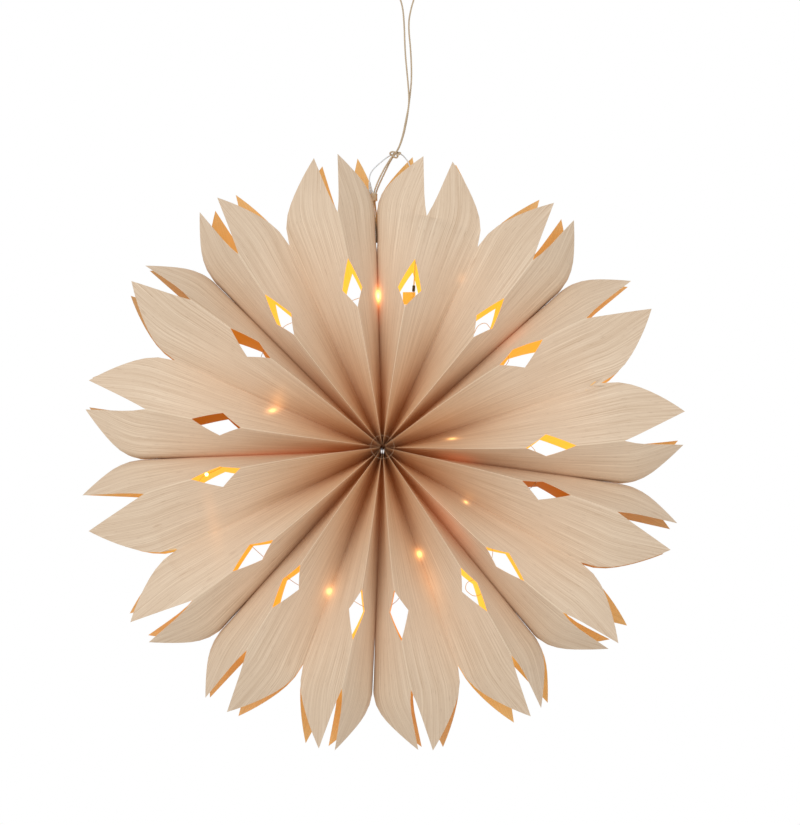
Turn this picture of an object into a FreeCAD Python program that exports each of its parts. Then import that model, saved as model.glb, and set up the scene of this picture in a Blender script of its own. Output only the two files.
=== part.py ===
import FreeCAD, Part
import os
from functools import lru_cache
from math import asin, atan2, cos, degrees, hypot, pi, radians, sin, sqrt, tan

Vector = FreeCAD.Vector

# A hanging star of eight gusseted bags of veneer paper, glued to each other in a ring.
# Millimetres. X is to the right, Y to the back, Z up. The origin is the top of the hanging loop.
# An angle is seen from the front, counter-clockwise from +X about the star's centre.

# The sheet and the flat bag
SHEET = 0.5
BAG_WIDTH = 130.0
GUSSET_HALF = 63.5

# The cut through the flat bag, measured along the bag from the star's centre
BAG_END = 3.2
PASTED_END = 10.0
NOTCH = 244.0
TIP = 309.0
VALLEY = 231.0
TIP_FROM_FOLD = 25.0
BELLY_FROM_FOLD = 56.0
BELLY = 270.0

# The diamond cut out of each fold
DIAMOND_INNER = 143.5
DIAMOND_SIDE = 165.0
DIAMOND_OUTER = 194.5
DIAMOND_DEPTH = 18.0

# The glue strip down the middle of each panel, and how the panel bends away from it
GLUE_HALF = 6.0
GLUE_END = 188.0
BEND_LENGTH = 16.0
MOUTH_GAP = 0.5

# The first and last bag aren't glued but tied together by the twine. From here to here along the bag
# they open to let it in.
TIED_BAG = 1
TIED_OPENS = 170.0
TIED_OPEN = 206.0
TWINE_CLEARANCE = 0.6

# How the free petals bend: over which length, and how far each tip leans back
PETAL_BEND = 35.0
TIP_BACK = 12.0

# The star's centre, seen from the inside top of the hanging loop
STAR_X = -25.5
STAR_Z = -486.15

# One line for each bag, counter-clockwise: the glue line where it starts, its gusset fold, and its
# two ridges. A ridge has its angle at the centre, at the notch, at the tip of its panel petal and
# at the tip of its gusset petal.
BAGS = [
    {"glue": 42.0, "gusset": 65.0, "ridges": ((50.0, 51.4, 50.3, 55.3), (82.0, 79.3, 82.1, 76.4))},
    {"glue": 91.6, "gusset": 114.4, "ridges": ((99.6, 100.7, 98.6, 103.2), (129.0, 126.6, 127.5, 123.2))},
    {"glue": 134.8, "gusset": 156.6, "ridges": ((141.0, 142.3, 142.1, 146.1), (173.0, 170.4, 172.1, 166.6))},
    {"glue": 182.0, "gusset": 206.0, "ridges": ((187.0, 190.9, 188.6, 195.6), (221.2, 218.8, 219.5, 214.5))},
    {"glue": 228.0, "gusset": 249.7, "ridges": ((234.5, 236.2, 234.5, 239.4), (262.6, 260.5, 261.0, 258.0))},
    {"glue": 267.7, "gusset": 289.3, "ridges": ((273.5, 276.7, 276.8, 279.5), (303.6, 301.8, 301.5, 299.0))},
    {"glue": 309.4, "gusset": 330.3, "ridges": ((315.0, 317.5, 318.6, 320.5), (347.4, 344.7, 346.0, 340.7))},
    {"glue": 352.2, "gusset": 376.7, "ridges": ((358.5, 361.7, 361.0, 367.1), (396.5, 392.6, 394.3, 387.6))},
]

# The hole in each pair of glued panels, through which the light wire passes
WIRE_HOLE = 8.0
WIRE_HOLE_FROM_CENTRE = 162.0

# The thread round the centre, laid across the ridges
THREAD = 0.4
THREAD_FROM_CENTRE = 11.7

# The hanging twine: one length, doubled, with an eye at the top. X and Z from the star's centre.
# It runs from its end between the tied bags up the front strand, round the eye and down the rear one.
TWINE = 1.7
STRANDS_APART = 2.0
TWINE_FRONT = [
    (-5.8, 208.0), (-6.2, 222.0), (-6.2, 237.0), (-8.0, 250.0), (-9.4, 262.0), (-6.0, 274.0),
    (1.5, 290.0), (9.4, 304.0), (16.0, 312.0), (21.0, 327.0), (24.5, 345.0), (28.0, 362.0),
    (26.2, 386.0), (23.4, 415.0), (22.6, 445.0), (21.0, 463.0), (17.6, 473.0), (18.4, 481.5),
    (22.6, 487.0),
]
TWINE_REAR = [
    (28.4, 487.0), (32.6, 481.5), (33.4, 473.0), (30.0, 463.0), (26.6, 445.0), (29.6, 415.0),
    (30.4, 386.0), (27.6, 362.0), (25.4, 345.0), (21.6, 327.0), (16.0, 312.0), (9.4, 304.0),
    (1.5, 290.0), (-6.0, 274.0), (-9.4, 262.0), (-8.0, 250.0), (-6.2, 237.0), (-6.2, 222.0),
    (-5.8, 208.0),
]

# The turns of twine: the knot round both strands, and the binding round them and the connector
TURN_SPACING = 1.5
KNOT = (12.7, 0.0, 308.0)
KNOT_LEAN = 50.5
KNOT_INSIDE = 1.95
KNOT_TURNS = 3
BINDING = (-10.1, -1.2, 260.5)
BINDING_LEAN = 90.0
BINDING_INSIDE = 3.6
BINDING_TURNS = 3

# The clear lead of the lights, from the sleeve on the light wire up behind the knot to its connector
LEAD = 1.3
LEAD_ROUTE = [
    (32.3, -4.0, 170.5), (33.6, 0.0, 190.0), (35.4, 3.0, 220.0), (34.6, 3.6, 255.0), (31.0, 4.0, 290.0),
    (26.0, 4.8, 303.0), (18.0, 5.6, 311.0), (8.0, 5.4, 308.5), (-3.0, 3.6, 299.5),
    (-10.8, 0.2, 291.5), (-14.0, -3.2, 283.3), (-13.4, -3.2, 278.5),
]
CONNECTOR_TOP = 2.0
CONNECTOR_WIDE = 4.6
CONNECTOR_STEM = 2.4
CONNECTOR_TAPER = 10.5
CONNECTOR_LENGTH = 21.0
SLEEVE = 3.0
SLEEVE_LENGTH = 6.0
TAB_SIZE = (13.0, 0.3, 13.0)
TAB_CENTRE = (27.4, -4.5, 157.4)

# The light wire, through every bag in turn from the sleeve, and the runs of it that carry a light
WIRE = 0.6
WIRE_ROUTE = [
    (31.3, -7.0, 155.8), (24.0, -5.6, 148.6), (14.0, -1.0, 153.6), (4.5, 0.0, 162.2),
    (-13.5, 0.0, 161.7), (-30.0, -4.0, 156.0), (-48.0, -7.0, 147.0), (-68.0, -5.0, 139.0),
    (-88.0, -7.0, 134.0), (-101.0, -5.0, 129.0), (-107.8, 0.0, 121.3), (-120.6, 0.0, 108.7),
    (-127.0, 0.0, 92.0), (-122.0, 0.0, 73.0), (-116.0, 0.0, 55.0), (-113.0, 0.0, 38.0),
    (-122.0, 0.0, 22.0), (-142.0, 0.0, 15.0), (-158.0, 0.0, 13.0), (-162.2, 0.0, 3.3),
    (-161.6, 0.0, -14.7), (-171.0, -16.0, -21.0), (-187.0, -26.0, -29.0), (-188.0, -20.0, -47.0),
    (-170.0, -8.0, -66.0), (-142.0, 0.0, -90.0), (-115.1, 0.0, -114.4), (-101.7, 0.0, -126.4),
    (-84.0, 0.0, -139.0), (-64.0, 0.0, -143.0), (-47.0, 0.0, -142.5), (-30.0, 0.0, -153.0),
    (-15.5, 0.0, -161.5), (2.5, 0.0, -162.3), (17.0, 0.0, -152.0), (26.0, 0.0, -134.0),
    (34.0, 0.0, -114.0), (45.0, 0.0, -94.0), (60.0, -4.0, -92.0), (74.0, -14.0, -108.0),
    (86.0, -22.0, -122.0), (98.0, -22.0, -132.0), (104.0, -16.0, -144.0), (94.0, -10.0, -150.0),
    (84.0, -6.0, -142.0), (86.0, -2.0, -134.0), (95.8, 0.0, -130.9), (109.8, 0.0, -119.5),
    (114.0, 0.0, -100.0), (105.0, 0.0, -78.0), (97.0, 0.0, -58.0), (84.0, 0.0, -38.0),
    (92.0, 0.0, -24.0), (112.0, 0.0, -24.0), (132.0, 0.0, -34.0), (150.0, 0.0, -40.0),
    (159.3, 0.0, -30.9), (161.7, 0.0, -13.1), (156.0, 0.0, 4.0), (138.0, 0.0, 14.0),
    (114.0, 0.0, 14.0), (98.0, 0.0, 11.0), (82.0, 0.0, 12.5), (64.0, 0.0, 18.0), (56.0, 0.0, 32.0),
    (62.0, 0.0, 48.0), (78.0, 0.0, 62.0), (96.0, 0.0, 74.0), (114.0, 0.0, 82.0), (127.0, 0.0, 88.0),
    (131.0, 0.0, 95.5), (126.4, 0.0, 101.7), (114.4, 0.0, 115.1), (112.0, -12.0, 124.0),
    (105.0, -20.0, 131.0), (97.0, -22.0, 127.0), (92.0, -16.0, 116.0), (84.0, -8.0, 112.0),
    (76.0, -2.0, 122.0), (76.0, 0.0, 142.0), (80.0, 0.0, 160.0), (82.0, 0.0, 177.0),
    (84.5, 0.0, 195.0),
]
LIGHT = 3.6
LIT_RUNS = (3, 6, 14, 21, 29, 36, 50, 62, 81)

# The columns across a half panel and a half gusset, measured from the ridge
GUSSET_MIDDLE_COLUMNS = 2
LOWER_ROWS = 2
UPPER_ROWS = 3

HALF = BAG_WIDTH / 2


def place(x, y, z):
    """A point given from the star's centre, in the part's frame."""
    return Vector(STAR_X + x, y, STAR_Z + z)


def polar(angle, radius, y=0.0):
    """A point given by its angle and its distance from the star's axis, in the part's frame."""
    return place(radius * cos(radians(angle)), y, radius * sin(radians(angle)))


def mouth(u):
    """How far along the bag the cut lies, at u from a fold's edge."""
    if u <= TIP_FROM_FOLD:
        return NOTCH + (TIP - NOTCH) * u / TIP_FROM_FOLD
    a = TIP_FROM_FOLD - 2 * BELLY_FROM_FOLD + GUSSET_HALF
    b = BELLY_FROM_FOLD - TIP_FROM_FOLD
    s = (sqrt(b * b + a * (min(u, GUSSET_HALF) - TIP_FROM_FOLD)) - b) / a
    return TIP * (1 - s) ** 2 + 2 * BELLY * s * (1 - s) + VALLEY * s * s


@lru_cache(None)
def bend_for(width):
    """The bend of a half panel, in radians, that takes its edge this far from the glue plane."""
    low, high = 0.0001, 1.5
    for _ in range(40):
        bend = (low + high) / 2
        reach = BEND_LENGTH * (1 - cos(bend)) / bend + (HALF - GLUE_HALF - BEND_LENGTH) * sin(bend)
        low, high = (bend, high) if reach < width else (low, bend)
    return low


def panel_section(q, bend):
    """The distance from the glue plane and the depth of a half panel's section, q from its middle."""
    if q <= GLUE_HALF:
        return 0.0, q
    radius = BEND_LENGTH / bend
    turned = bend * min(1.0, (q - GLUE_HALF) / BEND_LENGTH)
    rest = max(0.0, q - GLUE_HALF - BEND_LENGTH)
    off = radius * (1 - cos(turned)) + rest * sin(turned)
    return off, GLUE_HALF + radius * sin(turned) + rest * cos(turned)


def tied_opening(v):
    """How far each tied panel stands off from the plane between the two, at v along the bag."""
    opened = max(0.0, min(1.0, (v - TIED_OPENS) / (TIED_OPEN - TIED_OPENS)))
    return (TWINE / 2 + TWINE_CLEARANCE) * opened * opened * (3 - 2 * opened)


class Bag:
    """The folded angles of one bag, with the glue line of the bag after it."""

    def __init__(self, number):
        this, following = BAGS[number], BAGS[(number + 1) % len(BAGS)]
        turn = 360 if following["glue"] < this["glue"] else 0
        self.glue = (this["glue"], following["glue"] + turn)
        self.tied = (number == TIED_BAG, number + 1 == TIED_BAG)
        self.gusset = this["gusset"]
        self.ridges = this["ridges"]

    def ridge_angle(self, k, v):
        """A ridge's angle at v along it: it swings a little from the centre to its notch."""
        centre, notch = self.ridges[k][:2]
        return centre + (notch - centre) * (v / NOTCH) ** 2

    def spread(self, k, v, valley):
        """How far a ridge stands from the plane of its valley."""
        return v * sin(radians(abs(valley - self.ridge_angle(k, v))))

    @lru_cache(None)
    def ridge_depth(self, k, v):
        """How far a ridge stands in front of the star's middle plane."""
        return panel_section(HALF, bend_for(self.spread(k, v, self.glue[k])))[1]

    @lru_cache(None)
    def fold_depth(self, v):
        """How far the gusset's fold stands in front of the star's middle plane."""
        depths = []
        for k in (0, 1):
            spread = min(self.spread(k, v, self.gusset), GUSSET_HALF)
            depths.append(self.ridge_depth(k, v) - sqrt(GUSSET_HALF**2 - spread**2))
        return (depths[0] + depths[1]) / 2

    @lru_cache(None)
    def fold_thickness(self, v):
        """How deep the sheet is inside the gusset's fold."""
        rise = self.ridge_depth(0, v) - self.fold_depth(v)
        half_angle = atan2(self.spread(0, v, self.gusset), rise)
        return SHEET * min(2.0, 1 / sin(half_angle))


class Strip:
    """One strip of a bag: half a panel or half a gusset, from its ridge to its valley."""

    def __init__(self, bag, kind, k, gap):
        self.bag = bag
        self.kind = kind
        self.k = k
        self.gap = gap
        self.valley = bag.glue[k] if kind == "panel" else bag.gusset
        self.width = HALF if kind == "panel" else GUSSET_HALF
        self.side = 1.0 if self.valley > bag.ridges[k][0] else -1.0
        self.tip_angle = bag.ridges[k][2 if kind == "panel" else 3]
        self.lean = self.leaf_angle()

    def section(self, u, v):
        """The angle and depth of the point u from the ridge and v along the bag, up to the notch."""
        spread = self.bag.spread(self.k, v, self.valley)
        if self.kind == "panel":
            off, depth = panel_section(HALF - u, bend_for(spread))
            opened = max(0.0, min(1.0, (v - GLUE_END) / (VALLEY - GLUE_END)))
            stand_off = self.gap * opened
            if self.bag.tied[self.k]:
                stand_off += tied_opening(v)
            off += stand_off * u / HALF
        else:
            front, fold = self.bag.ridge_depth(self.k, v), self.bag.fold_depth(v)
            off = spread * (1 - u / GUSSET_HALF)
            depth = front + (fold - front) * u / GUSSET_HALF
        return self.valley - self.side * degrees(asin(off / v)), depth

    def leaf_angle(self):
        """The direction in which the free petal runs, so that its tip comes to its angle."""
        angle, _ = self.section(TIP_FROM_FOLD, NOTCH)
        off = radians(angle - self.tip_angle)
        free = TIP - NOTCH
        turn = (-NOTCH * sin(off) - off * PETAL_BEND / 3) / (free - PETAL_BEND / 3)
        return self.tip_angle + degrees(turn)

    def outer(self, u, v):
        """A point of the sheet's outer side: X and Z from the star's centre, and the depth."""
        base = min(v, NOTCH)
        angle, depth = self.section(u, base)
        x, z = base * cos(radians(angle)), base * sin(radians(angle))
        free = v - base
        lean = radians(self.lean)
        turned = radians(angle) - lean
        side = turned * PETAL_BEND / 3 * (1 - (1 - min(1.0, free / PETAL_BEND)) ** 3)
        x += free * cos(lean) - side * sin(lean)
        z += free * sin(lean) + side * cos(lean)
        return x, z, depth - TIP_BACK * (free / (TIP - NOTCH)) ** 2

    def across(self):
        """The unit vector from the ridge's side to the valley, in the star's plane."""
        angle = radians(self.valley)
        return -sin(angle) * self.side, cos(angle) * self.side

    def inward(self, u, v):
        """The direction into the bag, across the sheet, as X, Z and depth."""
        step = 0.5
        a = self.outer(max(0.0, u - step), v)
        b = self.outer(min(self.width, u + step), v)
        ax, az = self.across()
        off = (b[0] - a[0]) * ax + (b[1] - a[1]) * az
        deep = b[2] - a[2]
        size = hypot(off, deep)
        return deep / size * ax, deep / size * az, -off / size

    def half_angle(self, v):
        """The angle between the strip and the star's axis at its ridge, in radians."""
        a, b = self.outer(0.0, v), self.outer(2.0, v)
        return atan2(hypot(b[0] - a[0], b[1] - a[1]), abs(a[2] - b[2]))

    def inner(self, u, v, other):
        """The point of the sheet's inner side that faces the outer point at u, v."""
        if u >= self.width - 0.001:
            x, z, depth = self.outer(self.width, v)
            if self.kind == "gusset":
                return x, z, depth - self.bag.fold_thickness(v)
            ax, az = self.across()
            return x - SHEET * ax, z - SHEET * az, 0.0
        half_fold = (self.half_angle(v) + other.half_angle(v)) / 2
        start = min(SHEET / tan(half_fold), 0.3 * self.width)
        moved = start + u * (1 - start / self.width)
        x, z, depth = self.outer(moved, v)
        dx, dz, deep = self.inward(moved, v)
        return x + SHEET * dx, z + SHEET * dz, depth + SHEET * deep


def columns(kind):
    """The places across a strip, from its ridge, at which the sheet is divided."""
    if kind == "panel":
        straight = HALF - GLUE_HALF - BEND_LENGTH
        bends = [straight, straight + BEND_LENGTH / 2, HALF - GLUE_HALF, HALF]
        return [0.0, DIAMOND_DEPTH, TIP_FROM_FOLD] + bends
    rest = GUSSET_HALF - TIP_FROM_FOLD
    steps = GUSSET_MIDDLE_COLUMNS + 1
    return [0.0, DIAMOND_DEPTH] + [TIP_FROM_FOLD + rest * i / steps for i in range(steps + 1)]


def rows(u):
    """The places along the bag at u: the rows below the diamond, then the rows above it."""
    side = min(1.0, u / DIAMOND_DEPTH)
    low = DIAMOND_INNER + (DIAMOND_SIDE - DIAMOND_INNER) * side
    high = DIAMOND_OUTER + (DIAMOND_SIDE - DIAMOND_OUTER) * side
    lower = [BAG_END] + [PASTED_END + (low - PASTED_END) * i / LOWER_ROWS for i in range(LOWER_ROWS + 1)]
    upper = [high + (mouth(u) - high) * i / UPPER_ROWS for i in range(UPPER_ROWS + 1)]
    return lower, upper


class Sheet:
    """The corners and triangles of one closed sheet."""

    def __init__(self):
        self.points = []
        self.index = {}
        self.triangles = []

    def add(self, point):
        key = (round(point.x, 5), round(point.y, 5), round(point.z, 5))
        if key not in self.index:
            self.index[key] = len(self.points)
            self.points.append(point)
        return self.index[key]

    def face(self, a, b, c, flip):
        corners = [self.add(a), self.add(b), self.add(c)]
        if len(set(corners)) == 3:
            self.triangles.append(tuple(corners[::-1] if flip else corners))

    def quad(self, a, b, c, d, flip):
        if (a - c).Length <= (b - d).Length:
            self.face(a, b, c, flip)
            self.face(a, c, d, flip)
        else:
            self.face(a, b, d, flip)
            self.face(b, c, d, flip)

    def solid(self):
        shape = Part.Shape()
        shape.makeShapeFromMesh((self.points, self.triangles), 0.001)
        solid = Part.Solid(Part.Shell(shape.Faces))
        if solid.Volume < 0:
            solid.reverse()
        return solid


def world(point, front):
    x, z, depth = point
    return place(x, -depth if front else depth, z)


def inside(strip, other, u, v):
    """The inner point: on the ridge it is shared by the panel and the gusset."""
    point = strip.inner(u, v, other)
    if u > 0.001:
        return point
    twin = other.inner(u, v, strip)
    return tuple((a + b) / 2 for a, b in zip(point, twin))


def grid(strip, other, front):
    """A strip's outer and inner corners, as columns of (lower rows, upper rows)."""
    outer, inner = [], []
    for u in columns(strip.kind):
        parts = rows(u)
        outer.append([[world(strip.outer(u, v), front) for v in part] for part in parts])
        inner.append([[world(inside(strip, other, u, v), front) for v in part] for part in parts])
    return outer, inner


def add_strip(sheet, outer, inner, flip):
    """The faces of one strip: its two sides, and its cut edges at the diamond and the mouth."""
    for i in range(len(outer) - 1):
        for part in (0, 1):
            a, b = outer[i][part], outer[i + 1][part]
            for j in range(len(a) - 1):
                sheet.quad(a[j], b[j], b[j + 1], a[j + 1], flip)
            a, b = inner[i][part], inner[i + 1][part]
            for j in range(1 if part == 0 else 0, len(a) - 1):
                sheet.quad(a[j], b[j], b[j + 1], a[j + 1], not flip)
        sheet.quad(outer[i][1][-1], outer[i + 1][1][-1], inner[i + 1][1][-1], inner[i][1][-1], flip)
        if i == 0:
            sheet.quad(outer[0][0][-1], outer[1][0][-1], inner[1][0][-1], inner[0][0][-1], flip)
            sheet.quad(outer[1][1][0], outer[0][1][0], inner[0][1][0], inner[1][1][0], flip)


def add_end(sheet, panel, gusset, row, flip):
    """Closes the end between a half panel and a half gusset, from their ridge to their valleys."""
    a = [column[0][row] for column in panel]
    b = [column[0][row] for column in gusset]
    i, j = 0, 0
    while i < len(a) - 1 or j < len(b) - 1:
        if j == len(b) - 1 or (i < len(a) - 1 and abs(a[i + 1].y) > abs(b[j + 1].y)):
            sheet.face(a[i], a[i + 1], b[j], flip)
            i += 1
        else:
            sheet.face(a[i], b[j + 1], b[j], flip)
            j += 1


def make_bag(number):
    """One bag as a closed sheet: panel, gusset, gusset and panel in front, and the same behind."""
    bag = Bag(number)
    sheet = Sheet()
    ends = {}
    for front in (True, False):
        for k in (0, 1):
            panel = Strip(bag, "panel", k, MOUTH_GAP)
            gusset = Strip(bag, "gusset", k, 0.0)
            flip = front == (k == 0)
            outer_panel, inner_panel = grid(panel, gusset, front)
            outer_gusset, inner_gusset = grid(gusset, panel, front)
            add_strip(sheet, outer_panel, inner_panel, flip)
            add_strip(sheet, outer_gusset, inner_gusset, not flip)
            add_end(sheet, outer_panel, outer_gusset, 0, not flip)
            add_end(sheet, inner_panel, inner_gusset, 1, flip)
            ends[front, k, 0] = (outer_panel[-1][0][0], outer_gusset[-1][0][0])
            ends[front, k, 1] = (inner_panel[-1][0][1], inner_gusset[-1][0][1])
    for which in (0, 1):
        first, fold_front = ends[True, 0, which]
        last, _ = ends[True, 1, which]
        _, fold_rear = ends[False, 0, which]
        sheet.face(first, fold_front, last, which == 0)
        sheet.face(first, last, fold_rear, which == 0)
    return sheet.solid()


def wire_hole(angle):
    """The tool that cuts the wire's hole through the panels at a glue line."""
    across = Vector(-sin(radians(angle)), 0, cos(radians(angle)))
    centre = polar(angle, WIRE_HOLE_FROM_CENTRE)
    length = GLUE_HALF
    return Part.makeCylinder(WIRE_HOLE / 2, length, centre - across * (length / 2), across)


def tube(name, points, diameter):
    """A cord: straight runs joined by tangent arcs, as large as the runs allow."""
    edges, start, radii = [], points[0], []
    for before, point, after in zip(points, points[1:], points[2:]):
        back, ahead = before - point, after - point
        turn = pi - back.getAngle(ahead)
        cut = 0.45 * min(back.Length, ahead.Length)
        radius = cut / tan(turn / 2)
        radii.append(radius)
        enter = point + back.normalize() * cut
        leave = point + ahead.normalize() * cut
        middle = (back + ahead).normalize() * (radius / cos(turn / 2) - radius)
        edges.append(Part.LineSegment(start, enter).toShape())
        edges.append(Part.Arc(enter, point + middle, leave).toShape())
        start = leave
    edges.append(Part.LineSegment(start, points[-1]).toShape())
    path = Part.Wire(edges)
    first = (points[1] - points[0]).normalize()
    profile = Part.Wire(Part.makeCircle(diameter / 2, points[0], first))
    solid = path.makePipeShell([profile], True, True)
    section = pi * diameter**2 / 4 * path.Length
    print(name, "length", round(path.Length, 1), "smallest radius", round(min(radii), 1))
    print(name, "volume", round(solid.Volume, 1), "section times length", round(section, 1))
    return solid


def turns(centre, lean, inside, count):
    """Turns of twine side by side, wound round what runs through them."""
    axis = Vector(cos(radians(lean)), 0, sin(radians(lean)))
    rings = []
    for i in range(count):
        middle = centre + axis * (TURN_SPACING * (i - (count - 1) / 2))
        rings.append(Part.makeTorus(inside + TWINE / 2, TWINE / 2, middle, axis))
    return rings[0].multiFuse(rings[1:])


def thread():
    """The thread at the centre, in front of the ridges that it crosses."""
    depth = max(Bag(number).ridge_depth(0, THREAD_FROM_CENTRE) for number in range(len(BAGS)))
    centre = place(0, -depth - THREAD / 2, 0)
    return Part.makeTorus(THREAD_FROM_CENTRE, THREAD / 2, centre, Vector(0, 1, 0))


def connector(lead):
    """The clear end of the lead: a tapered body with a stem that the binding holds."""
    start = lead[-1]
    along = (lead[-1] - lead[-2]).normalize()
    body = Part.makeCone(CONNECTOR_TOP / 2, CONNECTOR_WIDE / 2, CONNECTOR_TAPER, start, along)
    stem_start = start + along * CONNECTOR_TAPER
    stem = Part.makeCylinder(
        CONNECTOR_STEM / 2, CONNECTOR_LENGTH - CONNECTOR_TAPER, stem_start, along
    )
    return body.fuse(stem)


def light(start, end):
    """One light: a clear bead on the wire, in the middle of a run."""
    along = (end - start).normalize()
    bead = Part.makeSphere(LIGHT / 2, (start + end) / 2, along)
    return bead.cut(Part.makeCylinder(WIRE / 2, LIGHT, (start + end) / 2 - along * (LIGHT / 2), along))


def small_pieces():
    """The thread, the twine with its turns, the lead with its ends, and the light wire."""
    made = {"centre_thread": thread()}
    strand = STRANDS_APART / 2
    twine = [place(x, -strand, z) for x, z in TWINE_FRONT]
    twine += [place(x, strand, z) for x, z in TWINE_REAR]
    made["hanging_twine"] = tube("hanging_twine", twine, TWINE)
    made["twine_knot"] = turns(place(*KNOT), KNOT_LEAN, KNOT_INSIDE, KNOT_TURNS)
    made["twine_binding"] = turns(place(*BINDING), BINDING_LEAN, BINDING_INSIDE, BINDING_TURNS)

    lead = [place(*point) for point in LEAD_ROUTE]
    made["clear_lead"] = tube("clear_lead", lead, LEAD)
    made["lead_connector"] = connector(lead)
    along = (lead[0] - lead[1]).normalize()
    made["lead_sleeve"] = Part.makeCylinder(SLEEVE / 2, SLEEVE_LENGTH, lead[0], along)

    wire = [lead[0] + along * SLEEVE_LENGTH] + [place(*point) for point in WIRE_ROUTE]
    made["light_wire"] = tube("light_wire", wire, WIRE)
    made["lights"] = Part.makeCompound([light(wire[i + 1], wire[i + 2]) for i in LIT_RUNS])
    corner = place(*TAB_CENTRE) - Vector(*TAB_SIZE) / 2
    made["wire_tab"] = Part.makeBox(*TAB_SIZE, corner)
    return made


def main():
    os.makedirs("parts", exist_ok=True)
    made = {}
    for number in range(len(BAGS)):
        solid = make_bag(number)
        for angle in Bag(number).glue:
            solid = solid.cut(wire_hole(angle))
        made[f"bag_{number + 1}"] = solid
    made.update(small_pieces())
    for name, shape in made.items():
        print(name, "valid", shape.isValid(), "solids", len(shape.Solids), "volume", round(shape.Volume, 1))
        shape.exportStep(f"parts/{name}.step")


main()
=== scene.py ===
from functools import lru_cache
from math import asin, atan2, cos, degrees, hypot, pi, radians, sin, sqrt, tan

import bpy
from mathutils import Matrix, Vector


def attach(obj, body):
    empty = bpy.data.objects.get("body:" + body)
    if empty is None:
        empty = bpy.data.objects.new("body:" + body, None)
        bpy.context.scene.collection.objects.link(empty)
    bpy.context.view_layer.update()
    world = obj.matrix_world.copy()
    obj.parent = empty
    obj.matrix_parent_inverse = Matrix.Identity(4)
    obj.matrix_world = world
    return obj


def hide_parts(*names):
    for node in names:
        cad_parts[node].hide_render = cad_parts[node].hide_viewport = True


bl_info = {
    "name": "Hanging bag star",
    "version": (1, 0, 0),
    "blender": (4, 5, 0),
    "location": "3D View > Sidebar > Bag star",
    "description": "Makes a hanging star light of folded veneer paper bags",
    "category": "Object",
}

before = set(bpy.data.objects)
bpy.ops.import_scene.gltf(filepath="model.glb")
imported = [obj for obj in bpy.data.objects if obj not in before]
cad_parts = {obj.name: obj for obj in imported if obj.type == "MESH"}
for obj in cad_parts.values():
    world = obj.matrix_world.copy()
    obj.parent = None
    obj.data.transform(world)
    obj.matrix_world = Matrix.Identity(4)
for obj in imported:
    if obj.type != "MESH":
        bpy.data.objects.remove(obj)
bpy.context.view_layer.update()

MM = 0.001

# The star's centre, in millimetres, seen from the inside top of the hanging loop
STAR_X = -25.5
STAR_Z = -486.15

# The flat bag and its cut, as in the solids, in millimetres
SHEET = 0.5
HALF = 65.0
GUSSET_HALF = 63.5
BAG_END = 3.2
PASTED_ROWS = 2
NOTCH = 244.0
TIP = 309.0
VALLEY = 231.0
TIP_FROM_FOLD = 25.0
BELLY_FROM_FOLD = 56.0
BELLY = 270.0
DIAMOND_INNER = 143.5
DIAMOND_SIDE = 165.0
DIAMOND_OUTER = 194.5
DIAMOND_DEPTH = 18.0
GLUE_HALF = 6.0
GLUE_END = 188.0
BEND_LENGTH = 16.0
MOUTH_GAP = 0.5
TIED_BAG = 1
TIED_OPENS = 206.0
TIED_OPEN = 219.0
TWINE_CLEARANCE = 0.3
PETAL_BEND = 35.0
TIP_BACK = 12.0

# For each bag: the glue line where it starts, its gusset fold, and its two ridges in front and
# behind, each with its angle at the centre, at the notch, and at its two petals' tips.
BAGS = [
    (42.0, 65.0, ((50.0, 51.4, 50.3, 55.3), (82.0, 79.3, 82.1, 76.4)),
     ((50.5, 53.4, 52.6, 58.2), (82.0, 79.8, 84.2, 75.7))),
    (91.6, 114.4, ((99.6, 100.7, 98.6, 103.2), (129.0, 126.6, 127.5, 123.2)),
     ((99.2, 99.5, 94.8, 101.8), (128.0, 123.8, 124.6, 119.6))),
    (134.8, 156.6, ((141.0, 142.3, 142.1, 146.1), (173.0, 170.4, 172.1, 166.6)),
     ((141.5, 143.0, 141.9, 148.0), (173.0, 169.9, 171.3, 165.6))),
    (182.0, 206.0, ((187.0, 190.9, 188.6, 195.6), (221.2, 218.8, 219.5, 214.5)),
     ((187.0, 190.9, 188.2, 195.6), (220.8, 217.4, 218.0, 212.5))),
    (228.0, 249.7, ((234.5, 236.2, 234.5, 239.4), (262.6, 260.5, 261.0, 258.0)),
     ((234.5, 237.2, 234.9, 241.4), (262.0, 258.8, 259.6, 255.2))),
    (267.7, 289.3, ((273.5, 276.7, 276.8, 279.5), (303.6, 301.8, 301.5, 299.0)),
     ((273.8, 277.6, 277.6, 281.6), (303.4, 300.9, 303.4, 295.9))),
    (309.4, 330.3, ((315.0, 317.5, 318.6, 320.5), (347.4, 344.7, 346.0, 340.7)),
     ((315.4, 319.2, 320.6, 324.7), (347.4, 344.4, 345.1, 340.2))),
    (352.2, 376.7, ((358.5, 361.7, 361.0, 367.1), (396.5, 392.6, 394.3, 387.6)),
     ((359.0, 362.8, 362.3, 368.4), (396.5, 392.4, 394.1, 387.2))),
]

# How bright the inside of the bag is at each bag's first and second ridge
INSIDE_LEVELS = [
    (0.80, 0.95),
    (0.92, 0.85),
    (0.22, 0.12),
    (0.80, 0.62),
    (0.62, 0.80),
    (0.45, 0.95),
    (0.80, 0.10),
    (0.85, 0.62),
]

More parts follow.
